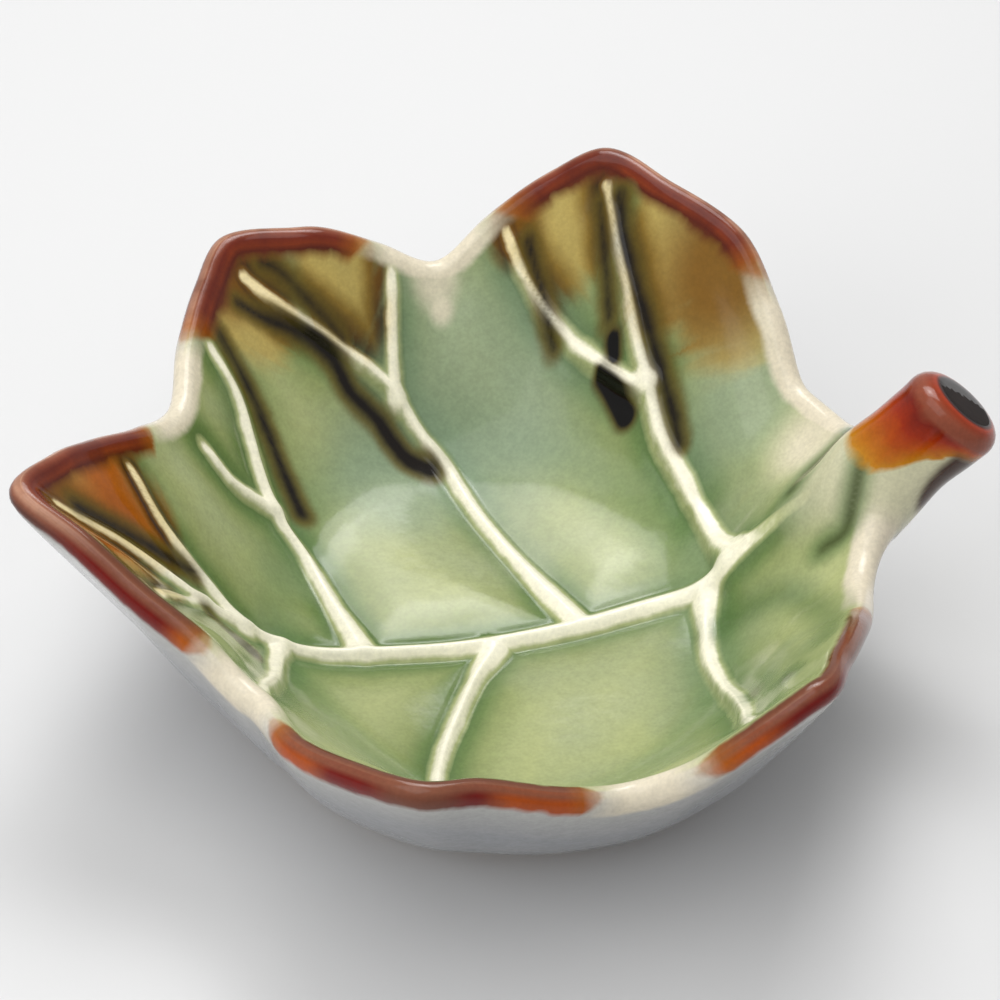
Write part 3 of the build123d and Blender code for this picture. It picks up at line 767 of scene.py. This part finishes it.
# The cream of a lip that is bare of iron, of the cream zones and of the stalk's neck.
iron_edge = add_node(tree, "MapRange", "Result", {
    "Value": field["iron"], "From Min": 0.25, "From Max": 0.75})
no_iron = add_node(tree, "Math", 0, {0: 1.0, 1: iron_edge}, operation="SUBTRACT")
down = add_node(tree, "Math", 0, {0: field["lip_mm"]}, operation="ABSOLUTE")
slightly = add_node(tree, "Math", 0, {0: noise["mottle"], 1: 1.6, 2: -0.8}, operation="MULTIPLY_ADD")
cream_down = add_node(tree, "Math", 0, {0: down, 1: slightly}, operation="ADD")
cream_reach = add_node(tree, "MapRange", "Result", {
    "Value": cream_down, "From Min": 3.7, "From Max": 2.5}, interpolation_type="SMOOTHSTEP")
cream_share = add_node(tree, "Math", 0, {0: cream_reach, 1: no_iron}, operation="MULTIPLY")
cream_zone = add_node(tree, "Math", 0, {0: field["cream"], 1: 0.85}, operation="MULTIPLY")
cream_share = add_node(tree, "Math", 0, {0: cream_share, 1: cream_zone}, operation="MAXIMUM")
body = add_node(tree, "Mix", 2, {0: cream_share, 6: body, 7: linear("#ddd3bc")}, data_type="RGBA")
body = add_node(tree, "Mix", 2, {0: field["neck"], 6: body, 7: linear("#cbc8a9")}, data_type="RGBA")

# The dark runs, each with an olive halo, the black drops, the dark green band at the near wall's foot, which
# is painted shade over pooled glaze, and the thin olive lines. Each is faint at one distance from the
# stroke's edge and full at another, and all stay off the veins.
ragged = add_node(tree, "Math", 0, {0: field["run_mm"], 1: wander}, operation="ADD")
EDGES = [
    (ragged, 1.7, 0.1, 0.85, "#5c4c12"), (ragged, 0.55, -0.95, 1.0, "#120b05"),
    (field["drop_mm"], 1.1, 0.0, 0.9, "#4a3c10"), (field["drop_mm"], 0.3, -0.25, 1.0, "#060403"),
    (field["pool_and_shade_mm"], 3.2, -1.2, 0.65, "#4c6a3a"), (field["olive_mm"], 2.6, 0.1, 0.7, "#5c7644"),
    (field["olive_mm"], 0.9, -0.7, 0.8, "#353f16")]
beside_vein = add_node(tree, "MapRange", "Result", {
    "Value": field["vein_mm"], "From Min": -0.7, "From Max": 0.1})
for distance, faint_at, full_at, most, colour in EDGES:
    stroke = add_node(tree, "MapRange", "Result", {
        "Value": distance, "From Min": faint_at, "From Max": full_at, "To Max": most},
        interpolation_type="SMOOTHSTEP")
    stroke = add_node(tree, "Math", 0, {0: stroke, 1: beside_vein}, operation="MULTIPLY")
    body = add_node(tree, "Mix", 2, {0: stroke, 6: body, 7: linear(colour)}, data_type="RGBA")

# The iron wash on the lip: thin and pinkish brown on the crest. On the far lips a pale pink line is painted
# along the crest, partly the thin wash and partly a painted highlight. On the far lips it thickens inwards
# through dark red and orange into the honey; on the near ones it is brown, and burned red or amber on the
# outside.
lip_way = add_node(tree, "MapRange", "Result", {"Value": field["lip_mm"], "From Min": -4.0, "From Max": 8.0})
far_iron = add_node(tree, "ValToRGB", "Color", {"Fac": lip_way}, stops=[
    (0.0, "#4a1c12"), (1.0, "#84641c"), (0.20, "#552618"), (0.262, "#8c5844"), (0.317, "#bb8c72"),
    (0.36, "#9c664e"), (0.43, "#84442f"), (0.49, "#6b2412"), (0.55, "#7e300e"), (0.60, "#551c06"),
    (0.68, "#6f4510")])
near_iron = add_node(tree, "ValToRGB", "Color", {"Fac": lip_way}, stops=[
    (0.0, "#683a2a"), (1.0, "#6a5626"), (0.22, "#6e3e2c"), (0.27, "#784632"), (0.335, "#82503a"),
    (0.42, "#6e3e2a"), (0.48, "#5e3a20"), (0.54, "#6a5626")])
flank = add_node(tree, "MapRange", "Result", {"Value": field["lip_mm"], "From Min": -0.2, "From Max": -1.0})
for burn, colour in (("red", "#6c0a00"), ("amber", "#a64600")):
    burned = add_node(tree, "Math", 0, {0: flank, 1: field[burn]}, operation="MULTIPLY")
    near_iron = add_node(tree, "Mix", 2, {0: burned, 6: near_iron, 7: linear(colour)}, data_type="RGBA")
drifted = add_node(tree, "MapRange", "Result", {
    "Value": noise["drift"], "From Min": 0.42, "From Max": 0.62, "To Max": 0.6})
far_iron = add_node(tree, "Mix", 2, {0: drifted, 6: far_iron, 7: linear("#5a1c0e")}, data_type="RGBA")
iron = add_node(tree, "Mix", 2, {0: field["near_lip"], 6: far_iron, 7: near_iron}, data_type="RGBA")
end_fade = add_node(tree, "MapRange", "Result", {
    "Value": field["iron"], "From Min": 0.93, "From Max": 0.55, "To Max": 0.85})
iron = add_node(tree, "Mix", 2, {0: end_fade, 6: iron, 7: linear("#a8620f")}, data_type="RGBA")

# How far the wash ran: it streaks and drifts, and it narrows to nothing at the ragged ends of its windows.
uneven = add_node(tree, "Math", 0, {0: noise["streak"], 1: 1.8, 2: -0.9}, operation="MULTIPLY_ADD")
wash = add_node(tree, "Math", 0, {0: field["wash_mm"], 1: uneven}, operation="ADD")
wash = add_node(tree, "Math", 0, {0: noise["drift"], 1: -3.0, 2: wash}, operation="MULTIPLY_ADD")
wash = add_node(tree, "Math", 0, {0: wash, 1: 1.5}, operation="ADD")
narrowing = add_node(tree, "Math", 0, {0: no_iron, 1: 8.0, 2: wash}, operation="MULTIPLY_ADD")
iron_share = add_node(tree, "MapRange", "Result", {
    "Value": narrowing, "From Min": WASH_END + 1.0, "From Max": WASH_END - 0.8})
ragged_end = add_node(tree, "Math", 0, {
    0: noise["streak"], 1: 0.25, 2: field["iron"]}, operation="MULTIPLY_ADD")
end_share = add_node(tree, "MapRange", "Result", {"Value": ragged_end, "From Min": 0.52, "From Max": 0.86})
iron_share = add_node(tree, "Math", 0, {0: iron_share, 1: end_share}, operation="MULTIPLY")
body = add_node(tree, "Mix", 2, {0: iron_share, 6: body, 7: iron}, data_type="RGBA")

# The stalk: dipped in the iron wash at its end, so it goes from a black cut face over red-brown to amber.
dip = add_node(tree, "Math", 0, {0: wander, 1: 0.25, 2: field["dip_share"]}, operation="MULTIPLY_ADD")
dip_colour = add_node(tree, "ValToRGB", "Color", {"Fac": dip}, stops=[
    (0.0, "#844430"), (1.0, "#bd861e"), (0.13, "#84412a"), (0.26, "#741804"), (0.45, "#942802"),
    (0.62, "#a84604"), (0.82, "#b2660e")])
end_face = add_node(tree, "MapRange", "Result", {
    "Value": field["from_end_mm"], "From Min": 2.5, "From Max": 1.9})
face_share = add_node(tree, "MapRange", "Result", {
    "Value": field["off_axis_mm"], "From Min": 0.0, "From Max": STALK_RADII[-1]})
face_colour = add_node(tree, "ValToRGB", "Color", {"Fac": face_share}, stops=[
    (0.0, "#140d0b"), (1.0, "#844430"), (0.615, "#1c1210"), (0.655, "#5a1808"), (0.71, "#a2340c"),
    (0.79, "#8c3212"), (0.90, "#8a4630")])
dip_colour = add_node(tree, "Mix", 2, {0: end_face, 6: dip_colour, 7: face_colour}, data_type="RGBA")
side_run = field["side_run"]
dip_colour = add_node(tree, "Mix", 2, {0: side_run, 6: dip_colour, 7: linear("#4e0e04")}, data_type="RGBA")
body = add_node(tree, "Mix", 2, {0: side_run, 6: body, 7: linear("#3a1e0a")}, data_type="RGBA")
dipped = add_node(tree, "MapRange", "Result", {"Value": dip, "From Min": 1.05, "From Max": 0.93})
dipped = add_node(tree, "Math", 0, {0: dipped, 1: field["stalk"]}, operation="MULTIPLY")
body = add_node(tree, "Mix", 2, {0: dipped, 6: body, 7: dip_colour}, data_type="RGBA")

# A fine speckle all over, and the ripple of the fired surface.
both = add_node(tree, "Math", 0, {0: noise["speck"], 1: noise["grain"]}, operation="ADD")
specks = add_node(tree, "MapRange", "Result", {
    "Value": both, "From Min": 0.7, "From Max": 1.3, "To Min": 0.9, "To Max": 1.05})
speckled = add_node(tree, "VectorMath", "Vector", {0: body, "Scale": specks}, operation="SCALE")
bump = add_node(tree, "Bump", "Normal", {
    "Height": noise["ripple"], "Strength": 0.25, "Distance": 0.12 * MM})
feed(tree, shader, {"Base Color": speckled, "Roughness": 0.15, "Specular IOR Level": 0.32, "Normal": bump})

# The stalk's cut end stood in the wash and soaked it up: iron-black stoneware with hardly any glaze on it.
SOOT, END_DEPTH, END_OVER = 1.3, 0.15, 0.2
tree, shader, place = start_material(dish, "iron_black_stoneware")
soot = add_node(tree, "TexNoise", "Fac", {"Vector": place, "Scale": 1 / (SOOT * MM), "Detail": 3.0})
char = add_node(tree, "Mix", 2, {0: soot, 6: linear("#17100d"), 7: linear("#241814")}, data_type="RGBA")
bump = add_node(tree, "Bump", "Normal", {"Height": soot, "Strength": 0.4, "Distance": 0.1 * MM})
feed(tree, shader, {"Base Color": char, "Roughness": 0.6, "Specular IOR Level": 0.15, "Normal": bump})
on_end = (from_end < END_DEPTH) & (off_axis < face_radius + END_OVER)
for polygon in dish.data.polygons:
    if all(on_end[i] for i in polygon.vertices):
        polygon.material_index = 1

# The foot: a thin ring under the base, wiped clean of glaze before the firing, so its toasted clay shows.
FOOT_HALF_LENGTH, FOOT_HALF_WIDTH, FOOT_SINK, FOOT_SIDES = 29.0, 31.5, 0.5, 144
FOOT_PROFILE = [
    (0.0, 0.9), (0.15, 0.35), (0.5, 0.08), (1.0, 0.0), (2.2, 0.0), (2.7, 0.08), (3.05, 0.35), (3.2, 0.9),
    (3.2, FOOT_HEIGHT + FOOT_SINK)]
bpy.ops.object.select_all(action="DESELECT")
foot_spot = ((WELL_X + BELLY_SHIFT) * MM, WELL_Y * MM, (FOOT_HEIGHT + FOOT_SINK) * MM)
bpy.ops.mesh.primitive_circle_add(vertices=FOOT_SIDES, radius=MM, fill_type="NOTHING", location=foot_spot)
foot = bpy.context.object
foot.name = "foot_clay"
foot.scale = (FOOT_HALF_LENGTH, FOOT_HALF_WIDTH, 1)
bpy.ops.object.transform_apply(location=True, rotation=True, scale=True)
bpy.ops.object.mode_set(mode="EDIT")
inset, level = 0.0, FOOT_HEIGHT + FOOT_SINK
for next_inset, next_level in FOOT_PROFILE:
    bpy.ops.mesh.extrude_region_move(TRANSFORM_OT_translate={"value": (0, 0, (next_level - level) * MM)})
    bpy.ops.transform.resize(value=((FOOT_HALF_LENGTH - next_inset) / (FOOT_HALF_LENGTH - inset),
                                    (FOOT_HALF_WIDTH - next_inset) / (FOOT_HALF_WIDTH - inset), 1),
                             center_override=foot_spot)
    inset, level = next_inset, next_level
bpy.ops.mesh.select_all(action="DESELECT")
bpy.ops.mesh.select_mode(type="EDGE")
bpy.ops.mesh.select_non_manifold()
bpy.ops.mesh.bridge_edge_loops()
bpy.ops.mesh.select_all(action="SELECT")
bpy.ops.mesh.normals_make_consistent(inside=False)
bpy.ops.object.mode_set(mode="OBJECT")
bpy.ops.object.shade_smooth_by_angle(angle=math.radians(40))
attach(foot, "root")
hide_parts("foot_ring")
GRAIN, GROG = 0.5, 1.6
tree, shader, place = start_material(foot, "toasted_stoneware_bisque")
grain = add_node(tree, "TexNoise", "Fac", {"Vector": place, "Scale": 1 / (GRAIN * MM), "Detail": 3.0})
grog = add_node(tree, "TexVoronoi", "Distance", {"Vector": place, "Scale": 1 / (GROG * MM)})
clay = add_node(tree, "Mix", 2, {0: grain, 6: linear("#b08a66"), 7: linear("#d2b593")}, data_type="RGBA")
grog_share = add_node(tree, "MapRange", "Result", {
    "Value": grog, "From Min": 0.16, "From Max": 0.08, "To Max": 0.7})
clay = add_node(tree, "Mix", 2, {0: grog_share, 6: clay, 7: linear("#7a5438")}, data_type="RGBA")
bump = add_node(tree, "Bump", "Normal", {"Height": grain, "Strength": 0.5, "Distance": 0.1 * MM})
feed(tree, shader, {"Base Color": clay, "Roughness": 0.85, "Normal": bump})

# The floor that the dish stands on: a pale sheet of paper, with soft light from big lamps.
bpy.ops.object.select_all(action="DESELECT")
bpy.ops.mesh.primitive_plane_add(size=6)
floor = bpy.context.object
floor.name = "studio_floor"
_, paper, _ = start_material(floor, "white_paper")
paper.inputs["Base Color"].default_value = linear("#d6d6d6")


def add_lamp(name, place, aim, size, power):
    """A square soft box, placed and aimed in millimetres."""
    data = bpy.data.lights.new(name, "AREA")
    data.shape = "RECTANGLE"
    data.size, data.size_y = size[0] * MM, size[1] * MM
    data.energy = power
    lamp = bpy.data.objects.new(name, data)
    bpy.context.collection.objects.link(lamp)
    way = (Vector(aim) - Vector(place)).normalized()
    lamp.rotation_euler = way.to_track_quat("-Z", "Y").to_euler()
    lamp.location = Vector(place) * MM
    return lamp


add_lamp("window_box", (80, 285, 450), (0, 0, 10), (340, 260), 1.3)
add_lamp("window_core", (80, 284, 449), (0, 0, 10), (120, 90), 0.2)
add_lamp("overhead_box", (-150, -60, 600), (0, 0, 10), (500, 500), 1.1)
fill = add_lamp("side_box", (-480, -240, 320), (0, 0, 10), (400, 400), 1.3)
fill.visible_glossy = False
world = bpy.data.worlds.new("studio")
bpy.context.scene.world = world
world.use_nodes = True
sky = world.node_tree.nodes["Background"]
sky.inputs["Color"].default_value = linear("#ffffff")
sky.inputs["Strength"].default_value = 0.5

# The camera looks down at the dish from in front of its near side, a little to the apex's side, and leans.
TURN, RISE, LEAN = 15.5, 42.0, 3.7
DISTANCE, FOCUS, SENSOR = 550.0, 156.6, 36.0
AIM_RIGHT, AIM_UP, CENTRE_RISE = 0.53, 19.44, 2.8
turn, rise_angle, lean = math.radians(TURN), math.radians(RISE), math.radians(LEAN)
right = Vector((math.cos(turn), -math.sin(turn), 0))
back = Vector((-math.sin(turn) * math.cos(rise_angle), -math.cos(turn) * math.cos(rise_angle),
               math.sin(rise_angle)))
upward = back.cross(right)
centre = Vector((WELL_X, WELL_Y, CENTRE_RISE))
stand = centre + back * DISTANCE
aim = centre + right * AIM_RIGHT + upward * AIM_UP
back = (stand - aim).normalized()
upward = back.cross(right).normalized()
right = upward.cross(back)
leaned_right = right * math.cos(lean) + upward * math.sin(lean)
leaned_up = back.cross(leaned_right)
camera_data = bpy.data.cameras.new("camera")
camera_data.lens = FOCUS
camera_data.sensor_width = SENSOR
camera = bpy.data.objects.new("camera", camera_data)
bpy.context.collection.objects.link(camera)
camera_turn = Matrix((leaned_right, leaned_up, back)).transposed().to_4x4()
camera.matrix_world = Matrix.Translation(stand * MM) @ camera_turn
bpy.context.scene.camera = camera
bpy.context.scene.view_settings.view_transform = "Standard"
